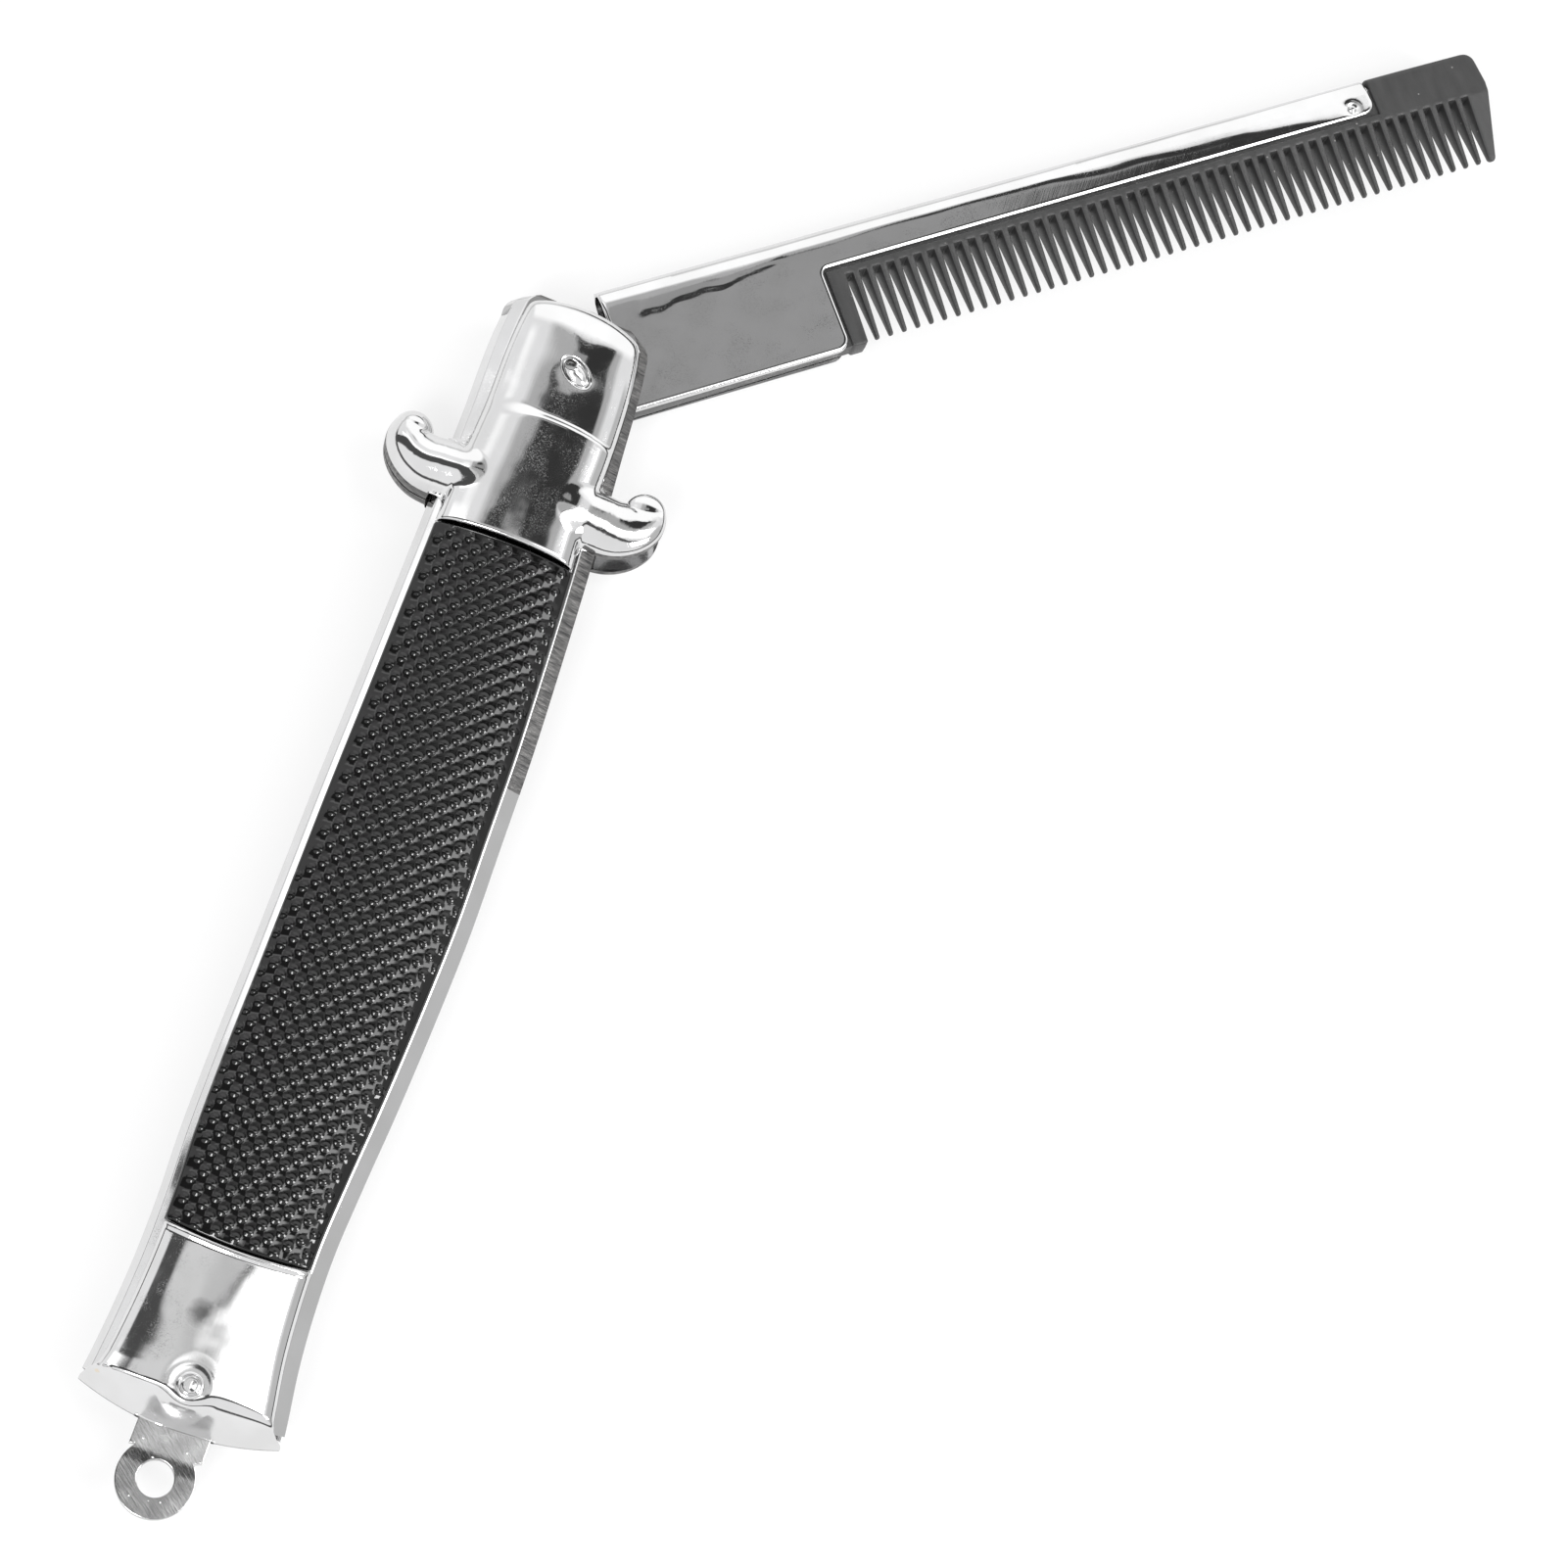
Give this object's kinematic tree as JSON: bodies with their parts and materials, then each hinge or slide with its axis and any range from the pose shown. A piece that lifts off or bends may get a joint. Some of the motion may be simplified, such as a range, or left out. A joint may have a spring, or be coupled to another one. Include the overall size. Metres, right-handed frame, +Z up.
{
  "type": "folding comb",
  "caption": "Pocket comb that folds into a slim handle shaped like a stiletto's, with domed chrome ends, hooked guards, black grips and a hang tab.",
  "frame": {"origin": "bottom centre of the bounding box, as the comb lies on its back", "axes": "+Y along the handle towards the pivot end, +Z up out of the front face, +X to the side the comb swings out of"},
  "size_m": [0.1058, 0.205, 0.012],
  "materials": {
    "chrome_plate": "bright plate, slightly worn",
    "sheet_steel": "worn sheet",
    "black_plastic": "gloss, dotted",
    "comb_plastic": "satin"
  },
  "bodies": {
    "handle": {"front_frame": "chrome_plate", "back_frame": "chrome_plate", "front_bolster": "chrome_plate", "back_bolster": "chrome_plate", "front_grip": "black_plastic", "back_grip": "black_plastic", "front_cap": "chrome_plate", "back_cap": "chrome_plate", "pivot_rivet": "sheet_steel", "tail_rivet": "sheet_steel", "hang_tab": "sheet_steel"},
    "swinging_comb": {"comb": "comb_plastic", "comb_sleeve": "chrome_plate", "sleeve_rivet": "sheet_steel"}
  },
  "joints": [
    {"name": "comb_swing", "type": "hinge", "parent": "handle", "child": "swinging_comb", "pos_m": [-0.03637, 0.02493, 0.006], "axis": [0, 0, 1], "range_deg": [-128.1, 50.9]}
  ]
}
